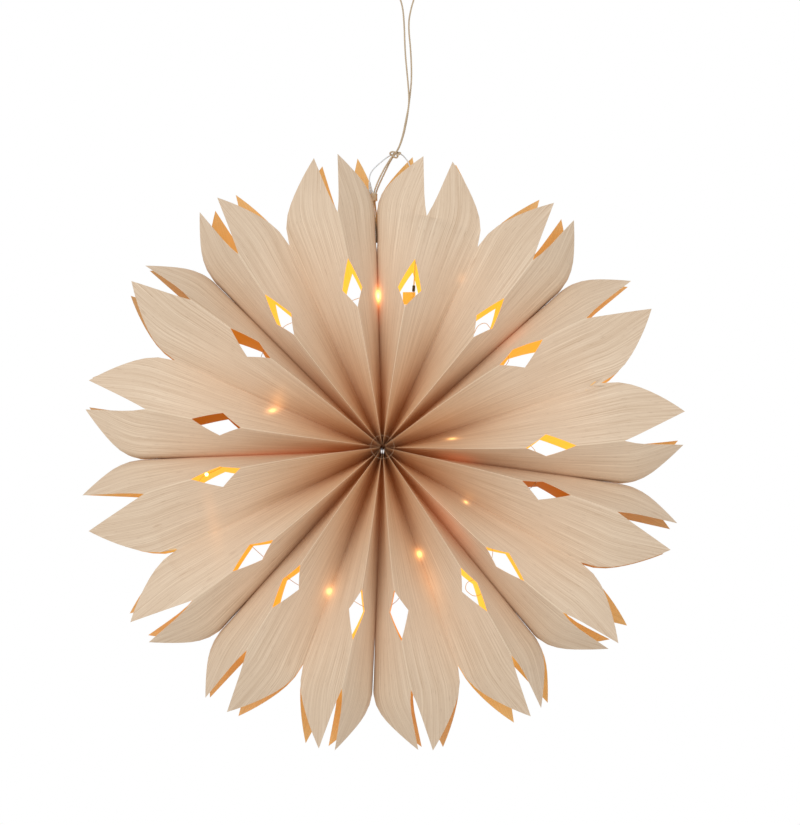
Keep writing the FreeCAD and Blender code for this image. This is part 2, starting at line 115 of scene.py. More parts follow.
# Where a light shows through the paper: X and Z from the centre, the way it is drawn out, its half
# length and half width, and how strong its core and its halo are
GLOWS = [
    (-4.5, 159.0, 91.6, 5.5, 2.4, 2.4, 1.0),
    (-112.0, 40.5, 20.0, 5.0, 3.0, 1.0, 0.55),
    (-107.0, 52.0, 60.0, 8.0, 5.0, 0.0, 0.16),
    (-54.5, -143.5, 70.0, 3.8, 3.0, 1.2, 0.6),
    (-54.5, -143.5, 70.0, 14.0, 7.0, 0.0, 0.16),
    (38.0, -105.6, 110.0, 4.0, 3.0, 1.4, 0.6),
    (49.0, -134.0, 111.0, 20.0, 7.0, 0.0, 0.18),
    (85.0, -53.0, 150.0, 3.0, 2.0, 1.0, 0.4),
    (70.5, 10.5, 5.0, 5.5, 1.6, 0.9, 0.4),
    (80.7, 177.0, 65.0, 4.0, 3.0, 0.0, 0.12),
    (-172.0, -70.0, 100.0, 24.0, 5.0, 0.0, 0.08),
]

# Where the light in a valley shows red, in the same terms
VALLEY_GLOWS = [
    (-4.5, 159.0, 91.6, 15.0, 4.0, 0.0, 0.45),
    (70.0, -75.0, 309.4, 28.0, 4.5, 0.0, 0.30),
    (78.0, -8.0, 352.2, 13.0, 2.4, 0.0, 0.28),
    (-120.0, -3.0, 182.0, 50.0, 2.5, 0.0, 0.20),
    (134.0, 114.0, 42.0, 15.0, 4.0, 0.0, 0.28),
]

# The hanging twine and the lead of the lights: X and Z from the star's centre, and Y
STRANDS_APART = 2.0
TWINE = 1.7
TWINE_FRONT = [
    (-5.9, 216.0), (-6.3, 224.0), (-7.0, 237.0), (-9.0, 250.0), (-10.2, 262.0), (-7.0, 274.4),
    (0.5, 290.6), (8.8, 304.4), (16.0, 312.0), (21.0, 327.0), (24.5, 345.0), (28.0, 362.0),
    (26.2, 386.0), (23.4, 415.0), (22.6, 445.0), (21.0, 463.0), (17.6, 473.0), (18.4, 481.5),
    (22.6, 487.0),
]
TWINE_REAR = [
    (28.4, 487.0), (32.6, 481.5), (33.4, 473.0), (30.0, 463.0), (26.6, 445.0), (29.6, 415.0),
    (30.4, 386.0), (27.6, 362.0), (25.4, 345.0), (21.6, 327.0), (16.0, 312.0), (9.4, 304.0),
    (2.5, 289.4), (-5.0, 273.6), (-8.4, 262.0), (-7.0, 250.0), (-5.4, 237.0), (-6.0, 224.0),
    (-5.9, 216.0),
]
LEAD = 1.3
LEAD_ROUTE = [
    (32.3, -4.0, 170.5), (33.6, 0.0, 190.0), (35.4, 3.0, 220.0), (34.6, 3.6, 255.0), (31.0, 4.0, 290.0),
    (26.0, 4.8, 303.0), (18.0, 5.6, 311.0), (8.0, 5.4, 308.5), (-3.0, 3.6, 299.5),
    (-10.8, 0.2, 291.5), (-14.0, -3.2, 283.3), (-13.4, -3.2, 278.5),
]

# The knot: its centre, and half its width, depth and height
KNOT_CENTRE = (13.2, 0.0, 308.0)
KNOT_SIZE = (6.0, 2.6, 3.4)

# The turns of the binding: centre, lean of their axis in degrees, radius of the turns, and how many
BINDING = ((-9.95, -0.9, 263.0), 90.0, 3.9, 5)
TURN_SPACING = 1.5


def place(x, y, z):
    """A point given in millimetres from the star's centre, in metres in the frame."""
    return Vector((STAR_X + x, y, STAR_Z + z)) * MM


# Folding, as in the solids


def mouth(u):
    """How far along the bag the cut lies, at u from a fold's edge."""
    if u <= TIP_FROM_FOLD:
        return NOTCH + (TIP - NOTCH) * u / TIP_FROM_FOLD
    a = TIP_FROM_FOLD - 2 * BELLY_FROM_FOLD + GUSSET_HALF
    b = BELLY_FROM_FOLD - TIP_FROM_FOLD
    s = (sqrt(b * b + a * (min(u, GUSSET_HALF) - TIP_FROM_FOLD)) - b) / a
    return TIP * (1 - s) ** 2 + 2 * BELLY * s * (1 - s) + VALLEY * s * s


@lru_cache(None)
def bend_for(width):
    """The bend of a half panel, in radians, that takes its edge this far from the glue plane."""
    low, high = 0.0001, 1.5
    for _ in range(40):
        bend = (low + high) / 2
        reach = BEND_LENGTH * (1 - cos(bend)) / bend + (HALF - GLUE_HALF - BEND_LENGTH) * sin(bend)
        low, high = (bend, high) if reach < width else (low, bend)
    return low


def panel_section(q, bend):
    """The distance from the glue plane and the depth of a half panel's section, q from its middle."""
    if q <= GLUE_HALF:
        return 0.0, q
    radius = BEND_LENGTH / bend
    turned = bend * min(1.0, (q - GLUE_HALF) / BEND_LENGTH)
    rest = max(0.0, q - GLUE_HALF - BEND_LENGTH)
    off = radius * (1 - cos(turned)) + rest * sin(turned)
    return off, GLUE_HALF + radius * sin(turned) + rest * cos(turned)


def tied_opening(v):
    """How far each tied panel stands off from the plane between the two, at v along the bag."""
    opened = max(0.0, min(1.0, (v - TIED_OPENS) / (TIED_OPEN - TIED_OPENS)))
    return (TWINE / 2 + TWINE_CLEARANCE) * opened * opened * (3 - 2 * opened)


class Bag:
    """The folded angles of one bag, with the glue line of the bag after it."""

    def __init__(self, number, front):
        glue, self.gusset = BAGS[number][:2]
        self.ridges = BAGS[number][2 if front else 3]
        following = BAGS[(number + 1) % len(BAGS)][0]
        turn = 360 if following < glue else 0
        self.glue = (glue, following + turn)
        self.tied = (number == TIED_BAG, number + 1 == TIED_BAG)

    def ridge_angle(self, k, v):
        centre, notch = self.ridges[k][:2]
        return centre + (notch - centre) * (v / NOTCH) ** 2

    def spread(self, k, v, valley):
        return v * sin(radians(abs(valley - self.ridge_angle(k, v))))

    @lru_cache(None)
    def ridge_depth(self, k, v):
        return panel_section(HALF, bend_for(self.spread(k, v, self.glue[k])))[1]

    @lru_cache(None)
    def fold_depth(self, v):
        depths = []
        for k in (0, 1):
            spread = min(self.spread(k, v, self.gusset), GUSSET_HALF)
            depths.append(self.ridge_depth(k, v) - sqrt(GUSSET_HALF**2 - spread**2))
        return (depths[0] + depths[1]) / 2

    @lru_cache(None)
    def fold_thickness(self, v):
        rise = self.ridge_depth(0, v) - self.fold_depth(v)
        return SHEET * min(2.0, 1 / sin(atan2(self.spread(0, v, self.gusset), rise)))


class Strip:
    """Half a panel or half a gusset of a bag, from its ridge to its valley."""

    def __init__(self, bag, kind, k, gap):
        self.bag = bag
        self.kind = kind
        self.k = k
        self.gap = gap
        self.valley = bag.glue[k] if kind == "panel" else bag.gusset
        self.width = HALF if kind == "panel" else GUSSET_HALF
        self.side = 1.0 if self.valley > bag.ridges[k][0] else -1.0
        self.tip_angle = bag.ridges[k][2 if kind == "panel" else 3]
        self.lean = self.leaf_angle()

    def section(self, u, v):
        """The angle and depth of the point u from the ridge and v along the bag, up to the notch."""
        spread = self.bag.spread(self.k, v, self.valley)
        if self.kind == "panel":
            off, depth = panel_section(HALF - u, bend_for(spread))
            opened = max(0.0, min(1.0, (v - GLUE_END) / (VALLEY - GLUE_END)))
            stand_off = tied_opening(v) if self.bag.tied[self.k] else self.gap * opened
            off += stand_off * u / HALF
        else:
            front, fold = self.bag.ridge_depth(self.k, v), self.bag.fold_depth(v)
            off = spread * (1 - u / GUSSET_HALF)
            depth = front + (fold - front) * u / GUSSET_HALF
        return self.valley - self.side * degrees(asin(off / v)), depth

    def leaf_angle(self):
        """The direction in which the free petal runs, so that its tip comes to its angle."""
        angle, _ = self.section(TIP_FROM_FOLD, NOTCH)
        off = radians(angle - self.tip_angle)
        turn = (-NOTCH * sin(off) - off * PETAL_BEND / 3) / (TIP - NOTCH - PETAL_BEND / 3)
        return self.tip_angle + degrees(turn)

    def outer(self, u, v):
        """A point of the sheet's outer side: X and Z from the star's centre, and the depth."""
        base = min(v, NOTCH)
        angle, depth = self.section(u, base)
        x, z = base * cos(radians(angle)), base * sin(radians(angle))
        free = v - base
        lean = radians(self.lean)
        turned = radians(angle) - lean
        side = turned * PETAL_BEND / 3 * (1 - (1 - min(1.0, free / PETAL_BEND)) ** 3)
        x += free * cos(lean) - side * sin(lean)
        z += free * sin(lean) + side * cos(lean)
        return x, z, depth - TIP_BACK * (free / (TIP - NOTCH)) ** 2

    def across(self):
        angle = radians(self.valley)
        return -sin(angle) * self.side, cos(angle) * self.side

    def inward(self, u, v):
        """The direction into the bag, across the sheet, as X, Z and depth."""
        a = self.outer(max(0.0, u - 0.5), v)
        b = self.outer(min(self.width, u + 0.5), v)
        ax, az = self.across()
        off = (b[0] - a[0]) * ax + (b[1] - a[1]) * az
        deep = b[2] - a[2]
        size = hypot(off, deep)
        return deep / size * ax, deep / size * az, -off / size

    def half_angle(self, v):
        a, b = self.outer(0.0, v), self.outer(2.0, v)
        return atan2(hypot(b[0] - a[0], b[1] - a[1]), abs(a[2] - b[2]))

    def inner(self, u, v, other):
        """The point of the sheet's inner side that faces the outer point at u, v."""
        if u >= self.width - 0.001:
            x, z, depth = self.outer(self.width, v)
            if self.kind == "gusset":
                return x, z, depth - self.bag.fold_thickness(v)
            ax, az = self.across()
            return x - SHEET * ax, z - SHEET * az, 0.0
        half_fold = (self.half_angle(v) + other.half_angle(v)) / 2
        start = min(SHEET / tan(half_fold), 0.3 * self.width)
        moved = start + u * (1 - start / self.width)
        x, z, depth = self.outer(moved, v)
        dx, dz, deep = self.inward(moved, v)
        return x + SHEET * dx, z + SHEET * dz, depth + SHEET * deep


def spaced(stops, step):
    """The stops, with even places between them no further apart than step."""
    out = [stops[0]]
    for a, b in zip(stops, stops[1:]):
        count = max(1, round((b - a) / step))
        out += [a + (b - a) * i / count for i in range(1, count + 1)]
    return out


def columns(kind, step):
    """The places across a strip, from its ridge."""
    if kind == "panel":
        straight = HALF - GLUE_HALF - BEND_LENGTH
        stops = [0.0, DIAMOND_DEPTH, TIP_FROM_FOLD, straight, HALF - GLUE_HALF, HALF]
    else:
        stops = [0.0, DIAMOND_DEPTH, TIP_FROM_FOLD, GUSSET_HALF]
    return spaced(stops, step)


def rows(u, step):
    """The places along the bag at u: the rows below the diamond, then the rows above it."""
    side = min(1.0, u / DIAMOND_DEPTH)
    low = DIAMOND_INNER + (DIAMOND_SIDE - DIAMOND_INNER) * side
    high = DIAMOND_OUTER + (DIAMOND_SIDE - DIAMOND_OUTER) * side
    knee = min(NOTCH, mouth(u))
    below, above, free = round(DIAMOND_SIDE / step), round((NOTCH - DIAMOND_SIDE) / step), round((TIP - NOTCH) / step)
    lower = [BAG_END + (low - BAG_END) * i / below for i in range(below + 1)]
    upper = [high + (knee - high) * i / above for i in range(above)]
    upper += [knee + (mouth(u) - knee) * i / free for i in range(free + 1)]
    return lower, upper


class Sheet:
    """A mesh under construction: corners, faces, and for each face its side and the grain's UVs."""

    def __init__(self):
        self.points, self.index = [], {}
        self.faces, self.uvs, self.sides, self.levels = [], [], [], []

    def add(self, point):
        key = tuple(round(c, 7) for c in point)
        if key not in self.index:
            self.index[key] = len(self.points)
            self.points.append(point)
        return self.index[key]

    def face(self, corners, flip, side, level):
        """Corners are (point, uv) pairs. Side is 0 outside, 1 inside and 0.5 at a cut edge."""
        if flip:
            corners = corners[::-1]
        used, uvs = [], []
        for point, uv in corners:
            i = self.add(point)
            if i not in used:
                used.append(i)
                uvs.append(uv)
        if len(used) > 2:
            self.faces.append(used)
            self.uvs += uvs
            self.sides.append(side)
            self.levels.append(level)

    def make(self, name):
        mesh = bpy.data.meshes.new(name)
        mesh.from_pydata(self.points, [], self.faces)
        layer = mesh.uv_layers.new(name="grain")
        for i, uv in enumerate(self.uvs):
            layer.data[i].uv = uv
        side = mesh.attributes.new("side", "FLOAT", "FACE")
        level = mesh.attributes.new("level", "FLOAT", "FACE")
        side.data.foreach_set("value", self.sides)
        level.data.foreach_set("value", self.levels)
        mesh.polygons.foreach_set("use_smooth", [True] * len(mesh.polygons))
        mesh.set_sharp_from_angle(angle=radians(40))
        mesh.update()
        return mesh


def add_strip(sheet, strip, other, front, flip, grain, level, step):
    """The faces of one strip: its two sides, and its cut edges at the diamond and the mouth."""
    depth_sign = -1.0 if front else 1.0
    sign = -1.0 if strip.kind == "panel" else 1.0
    outer, inner = [], []
    places = columns(strip.kind, step)
    for u in places:
        parts = rows(u, step)
        outside, within = [], []
        for part in parts:
            a, b = [], []
            for v in part:
                x, z, depth = strip.outer(u, v)
                uv = ((grain + sign * u) * MM, v * MM)
                a.append((place(x, depth_sign * depth, z), uv))
                point = strip.inner(u, v, other)
                if u < 0.001:
                    twin = other.inner(u, v, strip)
                    point = tuple((p + q) / 2 for p, q in zip(point, twin))
                x, z, depth = point
                b.append((place(x, depth_sign * depth, z), uv))
            outside.append(a)
            within.append(b)
        outer.append(outside)
        inner.append(within)
    for i in range(len(places) - 1):
        for part in (0, 1):
            a, b = outer[i][part], outer[i + 1][part]
            c, d = inner[i][part], inner[i + 1][part]
            for j in range(len(a) - 1):
                sheet.face([a[j], b[j], b[j + 1], a[j + 1]], flip, 0.0, level)
                if part == 1 or j >= PASTED_ROWS:
                    sheet.face([c[j], d[j], d[j + 1], c[j + 1]], not flip, 1.0, level)
        a, b, c, d = outer[i][1][-1], outer[i + 1][1][-1], inner[i][1][-1], inner[i + 1][1][-1]
        sheet.face([a, b, d, c], flip, 0.5, level)
        if places[i] < DIAMOND_DEPTH - 0.001:
            a, b, c, d = outer[i][0][-1], outer[i + 1][0][-1], inner[i][0][-1], inner[i + 1][0][-1]
            sheet.face([a, b, d, c], flip, 0.5, level)
            a, b, c, d = outer[i][1][0], outer[i + 1][1][0], inner[i][1][0], inner[i + 1][1][0]
            sheet.face([b, a, c, d], flip, 0.5, level)
    return outer, inner


def add_end(sheet, panel, gusset, row, flip, side):
    """Closes the end between a half panel and a half gusset, from their ridge to their valleys."""
    a = [column[0][row] for column in panel]
    b = [column[0][row] for column in gusset]
    i, j = 0, 0
    while i < len(a) - 1 or j < len(b) - 1:
        if j == len(b) - 1 or (i < len(a) - 1 and abs(a[i + 1][0].y) > abs(b[j + 1][0].y)):
            sheet.face([a[i], a[i + 1], b[j]], flip, side, 0.0)
            i += 1
        else:
            sheet.face([a[i], b[j + 1], b[j]], flip, side, 0.0)
            j += 1


def bag_mesh(number, step):
    """One bag as a closed sheet: panel, gusset, gusset and panel in front, and the same behind."""
    sheet, ends = Sheet(), {}
    for front in (True, False):
        bag = Bag(number, front)
        for k in (0, 1):
            panel = Strip(bag, "panel", k, MOUTH_GAP)
            gusset = Strip(bag, "gusset", k, 0.0)
            flip = front == (k == 0)
            grain = 1000 * number + 200 * k + (500 if front else 0)
            level = INSIDE_LEVELS[number][k]
            panels = add_strip(sheet, panel, gusset, front, flip, grain, level, step)
            gussets = add_strip(sheet, gusset, panel, front, not flip, grain, level, step)
            for which, row in ((0, 0), (1, PASTED_ROWS)):
                add_end(sheet, panels[which], gussets[which], row, (not flip) if which == 0 else flip, float(which))
                ends[front, k, which] = (panels[which][-1][0][row], gussets[which][-1][0][row])
    for which in (0, 1):
        first, fold_front = ends[True, 0, which]
        last, _ = ends[True, 1, which]
        _, fold_rear = ends[False, 0, which]
        sheet.face([first, fold_front, last], which == 0, float(which), 0.0)
        sheet.face([first, last, fold_rear], which == 0, float(which), 0.0)
    return sheet.make(f"veneer_bag_{number + 1}")


# Node trees


def add_node(tree, kind, settings=None, values=None):
    """A node of that type, with its settings and with its inputs set or joined."""
    made = tree.nodes.new(kind)
    for name, value in (settings or {}).items():
        setattr(made, name, value)
    for name, value in (values or {}).items():
        join(tree, made.inputs[name], value)
    return made


def join(tree, target, value):
    if isinstance(value, Value):
        tree.links.new(value.socket, target)
    elif isinstance(value, bpy.types.NodeSocket):
        tree.links.new(value, target)
    else:
        target.default_value = value


class Value:
    """A socket of a node tree that can be worked with as a number."""

    def __init__(self, tree, socket):
        self.tree = tree
        self.socket = socket

    def math(self, operation, *others):
        made = self.tree.nodes.new("ShaderNodeMath")
        made.operation = operation
        for i, value in enumerate((self,) + others):
            join(self.tree, made.inputs[i], value)
        return Value(self.tree, made.outputs[0])

    def __add__(self, other):
        return self.math("ADD", other)

    __radd__ = __add__

    def __mul__(self, other):
        return self.math("MULTIPLY", other)

    __rmul__ = __mul__

    def __sub__(self, other):
        return self.math("SUBTRACT", other)

    def __rsub__(self, other):
        return self * -1.0 + other

    def __truediv__(self, other):
        return self.math("DIVIDE", other)

    def __pow__(self, other):
        return self.math("POWER", other)

    def clamped(self):
        made = self.math("ADD", 0.0)
        made.socket.node.use_clamp = True
        return made

    def ramp(self, low, high):
        """0 at low and 1 at high."""
        return ((self - low) / (high - low)).clamped()


def vector(tree, x, y, z):
    made = add_node(tree, "ShaderNodeCombineXYZ", values={"X": x, "Y": y, "Z": z})
    return Value(tree, made.outputs[0])


def noise(tree, where, detail=2.0, roughness=0.5, distortion=0.0):
    made = add_node(
        tree, "ShaderNodeTexNoise",
        values={"Vector": where, "Scale": 1.0, "Detail": detail, "Roughness": roughness, "Distortion": distortion},
    )
    return Value(tree, made.outputs[0])


def mix(tree, factor, a, b):
    made = add_node(tree, "ShaderNodeMix", {"data_type": "RGBA"})
    for i, value in ((0, factor), (6, a), (7, b)):
        join(tree, made.inputs[i], value)
    return Value(tree, made.outputs[2])


def colour(r, g, b):
    """A colour given as it shows on a screen, from 0 to 255."""
    return tuple((c / 255 / 12.92) if c <= 10 else ((c / 255 + 0.055) / 1.055) ** 2.4 for c in (r, g, b)) + (1.0,)


def new_material(name):
    material = bpy.data.materials.new(name)
    material.use_nodes = True
    tree = material.node_tree
    return material, tree, tree.nodes["Principled BSDF"]


def scaled_colour(tree, tint, amount):
    """A colour made brighter or darker by an amount."""
    made = add_node(tree, "ShaderNodeVectorMath", {"operation": "SCALE"})
    join(tree, made.inputs[0], tint if isinstance(tint, Value) else tint[:3])
    join(tree, made.inputs["Scale"], amount)
    return Value(tree, made.outputs[0])


def summed(tree, a, b):
    made = add_node(tree, "ShaderNodeVectorMath", {"operation": "ADD"})
    join(tree, made.inputs[0], a)
    join(tree, made.inputs[1], b)
    return Value(tree, made.outputs[0])


def glow_sums(x, z, glows):
    """The cores and the halos of these glows at a place, each added up."""
    core, halo = x * 0.0, x * 0.0
    for gx, gz, angle, long, wide, strong, soft in glows:
        c, w = cos(radians(angle)), sin(radians(angle))
        along = ((x - gx) * c + (z - gz) * w) / long
        off = ((z - gz) * c - (x - gx) * w) / wide
        away = along * along + off * off
        halo = halo + (away * -0.5).math("EXPONENT") * soft
        if strong > 0:
            core = core + (away * -2.2).math("EXPONENT") * strong
    return core, halo


def veneer_material(settings):
    """Veneer paper: straight grain outside, with painted shade toward the centre, painted highlights along the folds,
    and painted glow of the lights inside and through the paper.
    """
    material, tree, shader = new_material("veneer paper")
    uv = add_node(tree, "ShaderNodeUVMap", {"uv_map": "grain"})
    split = add_node(tree, "ShaderNodeSeparateXYZ", values={"Vector": uv.outputs[0]})
    s, v = Value(tree, split.outputs[0]), Value(tree, split.outputs[1])
    spot = add_node(tree, "ShaderNodeTexCoord")
    at = add_node(tree, "ShaderNodeSeparateXYZ", values={"Vector": spot.outputs["Object"]})
    x = Value(tree, at.outputs[0]) / MM - STAR_X
    z = Value(tree, at.outputs[2]) / MM - STAR_Z
    side = Value(tree, add_node(tree, "ShaderNodeAttribute", {"attribute_name": "side"}).outputs["Fac"])
    level = Value(tree, add_node(tree, "ShaderNodeAttribute", {"attribute_name": "level"}).outputs["Fac"])
    inner = side.math("GREATER_THAN", 0.75)
    edge = side.math("GREATER_THAN", 0.25) * (1.0 - inner)

    sway = noise(tree, vector(tree, s * 10.0, v * 8.0, 5.0)) * 0.0007
    fine = noise(tree, vector(tree, (s + sway) * 1900.0, v * 11.0, 0.0), 3.0, 0.7)
    streak = noise(tree, vector(tree, (s + sway) * 700.0, v * 6.0, 3.0), 2.0, 0.6)
    band = noise(tree, vector(tree, (s + sway) * 70.0, v * 3.0, 7.0), 1.0)
    bright = noise(tree, vector(tree, (s + sway) * 800.0, v * 6.0, 23.0), 1.0).ramp(0.60, 0.70)
    fleck = noise(tree, vector(tree, s * 1100.0, v * 90.0, 11.0), 1.0).ramp(0.66, 0.76)
    knot = noise(tree, vector(tree, s * 160.0, v * 40.0, 17.0), 1.0).ramp(0.70, 0.80)

    # Painted highlight along the ridge folds, stronger toward the centre; the cut edges are drawn in the same pale
    # tone.
    from_fold = ((s * 10.0 + 0.5).math("FRACT") - 0.5).math("ABSOLUTE") * 100.0
    fold_highlight = (1.0 - from_fold.ramp(0.7, 1.3)) * (1.0 - v.ramp(0.05, 0.24) * 0.55)
    # Painted shade: the outside is drawn darker and browner toward the star's centre.
    centre_shade = 1.0 - v.ramp(0.03, 0.15)
    tone = (fine * 0.7 + streak * 0.3 + band * 0.1 - 0.55) * (3.0 * settings.grain) + 0.5
    pale, deep = colour(*settings.pale), colour(*settings.deep)
    outside = mix(tree, tone.clamped(), deep, pale)
    outside = mix(tree, fleck * 0.30 * settings.grain, outside, colour(140, 104, 74))
    outside = mix(tree, knot * 0.22 * settings.grain, outside, colour(160, 118, 84))
    outside = mix(tree, bright * 0.18 * settings.grain, outside, colour(242, 224, 200))
    outside = mix(tree, centre_shade * 0.8, outside, mix(tree, tone.clamped(), colour(180, 132, 88), colour(222, 184, 140)))
    # Painted highlight on the folds, and the pale cut edges.
    outside = mix(tree, (fold_highlight * 0.8 + edge).clamped(), outside, colour(240, 222, 196))
    inside_tone = mix(tree, tone.clamped(), colour(200, 160, 108), colour(226, 190, 138))
    unlit = (1.0 - level.ramp(0.05, 0.6)) * (1.0 - v.ramp(0.21, 0.25))
    inside_tone = mix(tree, unlit, inside_tone, colour(164, 100, 58))
    join(tree, shader.inputs["Base Color"], mix(tree, inner, outside, inside_tone))

    # Painted glow where the lights show through the paper, and painted red light in the valleys.
    core, halo = glow_sums(x, z, GLOWS)
    _, red = glow_sums(x, z, VALLEY_GLOWS)
    outer_only = (1.0 - inner) * settings.halo
    # Painted glow through the paper: a pale band round the diamonds and a warmer one near the centre.
    through = v.ramp(0.05, 0.11) * (1.0 - v.ramp(0.19, 0.25)) * outer_only * settings.warmth
    centre_glow = v.ramp(0.005, 0.03) * (1.0 - v.ramp(0.06, 0.11)) * outer_only * settings.warmth
    shown = summed(
        tree,
        summed(
            tree,
            scaled_colour(tree, colour(255, 176, 104), halo * outer_only),
            scaled_colour(tree, colour(255, 214, 110), core * outer_only),
        ),
        summed(
            tree,
            scaled_colour(tree, colour(228, 108, 60), red * outer_only * 0.55),
            summed(
                tree,
                scaled_colour(tree, colour(255, 190, 148), through),
                scaled_colour(tree, colour(255, 150, 80), centre_glow),
            ),
        ),
    )
    low = mix(tree, level.ramp(0.0, 0.5), colour(132, 62, 18), colour(216, 142, 26))
    lit = mix(tree, level.ramp(0.5, 1.0), low, colour(246, 204, 66))
    fading = (1.0 - v.ramp(0.205, 0.262) * 0.86) * v.ramp(0.04, 0.10)
    ripple = tone.clamped() * 0.16 + 0.92
    lamp = scaled_colour(tree, lit, inner * fading * ripple * settings.inside)
    join(tree, shader.inputs["Emission Color"], summed(tree, shown, lamp))
    shader.inputs["Emission Strength"].default_value = 1.0
    shader.inputs["Specular IOR Level"].default_value = 0.25
    rough = fine * 0.2 + 0.52
    join(tree, shader.inputs["Roughness"], rough)
    bump = add_node(tree, "ShaderNodeBump", values={"Strength": 0.35, "Distance": 0.00008, "Height": fine + streak})
    join(tree, shader.inputs["Normal"], bump.outputs[0])
    return material


def object_position(tree):
    place_node = add_node(tree, "ShaderNodeTexCoord")
    return Value(tree, place_node.outputs["Object"])


def twine_material():
    """Pale bast twine: fibres of a few tones along the plies."""
    material, tree, shader = new_material("pale twine")
    where = scaled_colour(tree, object_position(tree), 2600.0)
    fibres = noise(tree, where, 3.0, 0.6)
    patches = noise(tree, scaled_colour(tree, object_position(tree), 300.0), 2.0)
    tone = (fibres * 0.8 + patches * 0.5 - 0.15).clamped()
    join(tree, shader.inputs["Base Color"], mix(tree, tone, colour(150, 126, 98), colour(226, 208, 180)))
    shader.inputs["Roughness"].default_value = 0.9
    shader.inputs["Specular IOR Level"].default_value = 0.15
    bump = add_node(tree, "ShaderNodeBump", values={"Strength": 0.6, "Distance": 0.00015, "Height": fibres})
    join(tree, shader.inputs["Normal"], bump.outputs[0])
    return material


def plain_material(name, tint, roughness, scale, amount, metallic=0.0):
    """A plain surface with a little unevenness in its colour and gloss."""
    material, tree, shader = new_material(name)
    uneven = noise(tree, scaled_colour(tree, object_position(tree), scale), 3.0, 0.6)
    darker = tuple(c * (1 - amount) for c in tint[:3]) + (1.0,)
    join(tree, shader.inputs["Base Color"], mix(tree, uneven, darker, tint))
    join(tree, shader.inputs["Roughness"], uneven * 0.15 + (roughness - 0.075))
    shader.inputs["Metallic"].default_value = metallic
    return material


def clear_material(name, tint, transmission, scale):
    """Clear plastic: light goes through, with a faint unevenness."""
    material, tree, shader = new_material(name)
    uneven = noise(tree, scaled_colour(tree, object_position(tree), scale), 2.0)
    paler = tuple(min(1.0, c * 1.06) for c in tint[:3]) + (1.0,)
    join(tree, shader.inputs["Base Color"], mix(tree, uneven, tint, paler))
    join(tree, shader.inputs["Roughness"], uneven * 0.12 + 0.1)
    shader.inputs["Transmission Weight"].default_value = transmission
    shader.inputs["IOR"].default_value = 1.42
    return material


def light_material(settings):
    """The lit beads: bright and warm, a little uneven."""
    material, tree, shader = new_material("lit bead")
    uneven = noise(tree, scaled_colour(tree, object_position(tree), 1800.0), 2.0)
    glow = mix(tree, uneven, colour(255, 196, 92), colour(255, 236, 178))
    join(tree, shader.inputs["Base Color"], glow)
    join(tree, shader.inputs["Emission Color"], glow)
    shader.inputs["Emission Strength"].default_value = settings.bead
    shader.inputs["Roughness"].default_value = 0.2
    return material


# Twisted twine


def plies_group():
    """Geometry nodes: plies laid round a curve, each a tube on a helix."""
    tree = bpy.data.node_groups.new("twisted plies", "GeometryNodeTree")
    face = tree.interface
    face.new_socket("Curve", in_out="INPUT", socket_type="NodeSocketGeometry")
    for name, value in (("Ply radius", 0.00045), ("Ply offset", 0.0004), ("Lay length", 0.006), ("Step", 0.001)):
        socket = face.new_socket(name, in_out="INPUT", socket_type="NodeSocketFloat")
        socket.default_value = value
    face.new_socket("Material", in_out="INPUT", socket_type="NodeSocketMaterial")
    face.new_socket("Mesh", in_out="OUTPUT", socket_type="NodeSocketGeometry")
    given = tree.nodes.new("NodeGroupInput").outputs
    even = add_node(tree, "GeometryNodeResampleCurve", {"mode": "LENGTH"}, {"Curve": given["Curve"], "Length": given["Step"]})
    along = add_node(tree, "GeometryNodeSplineParameter").outputs["Length"]
    normal = add_node(tree, "GeometryNodeInputNormal").outputs[0]
    tangent = add_node(tree, "GeometryNodeInputTangent").outputs[0]
    binormal = add_node(tree, "ShaderNodeVectorMath", {"operation": "CROSS_PRODUCT"})
    join(tree, binormal.inputs[0], tangent)
    join(tree, binormal.inputs[1], normal)
    profile = add_node(
        tree, "GeometryNodeCurvePrimitiveCircle", values={"Resolution": 7, "Radius": given["Ply radius"]}
    )
    together = tree.nodes.new("GeometryNodeJoinGeometry")
    for ply in range(3):
        angle = Value(tree, along) / Value(tree, given["Lay length"]) * (2 * pi) + ply * 2 * pi / 3
        reach = Value(tree, given["Ply offset"])
        first = scaled_colour(tree, Value(tree, normal), angle.math("COSINE") * reach)
        second = scaled_colour(tree, Value(tree, binormal.outputs[0]), angle.math("SINE") * reach)
        moved = add_node(
            tree, "GeometryNodeSetPosition",
            values={"Geometry": even.outputs[0], "Offset": summed(tree, first, second)},
        )
        tube = add_node(
            tree, "GeometryNodeCurveToMesh",
            values={"Curve": moved.outputs[0], "Profile Curve": profile.outputs[0], "Fill Caps": True},
        )
        tree.links.new(tube.outputs[0], together.inputs[0])
    single = add_node(tree, "GeometryNodeRealizeInstances", values={"Geometry": together.outputs[0]})
    smooth = add_node(tree, "GeometryNodeSetShadeSmooth", values={"Geometry": single.outputs[0]})
    done = add_node(
        tree, "GeometryNodeSetMaterial", values={"Geometry": smooth.outputs[0], "Material": given["Material"]}
    )
    out = tree.nodes.new("NodeGroupOutput")
    tree.links.new(done.outputs[0], out.inputs["Mesh"])
    return tree


def smooth_curve(name, points):
    """An open, smooth curve with these control points."""
    data = bpy.data.curves.new(name, "CURVE")
    data.dimensions = "3D"
    data.resolution_u = 8
    spline = data.splines.new("NURBS")
    spline.points.add(len(points) - 1)
    for i, point in enumerate(points):
        spline.points[i].co = (*point, 1.0)
    spline.order_u = 3
    spline.use_endpoint_u = True
    made = bpy.data.objects.new(name, data)
    bpy.context.collection.objects.link(made)
    return made


def curve_points(curve):
    """Points along a curve that has no bevel."""
    graph = bpy.context.evaluated_depsgraph_get()
    graph.update()
    mesh = bpy.data.meshes.new_from_object(curve.evaluated_get(graph))
    points = [v.co.copy() for v in mesh.vertices]
    bpy.data.meshes.remove(mesh)
    return points


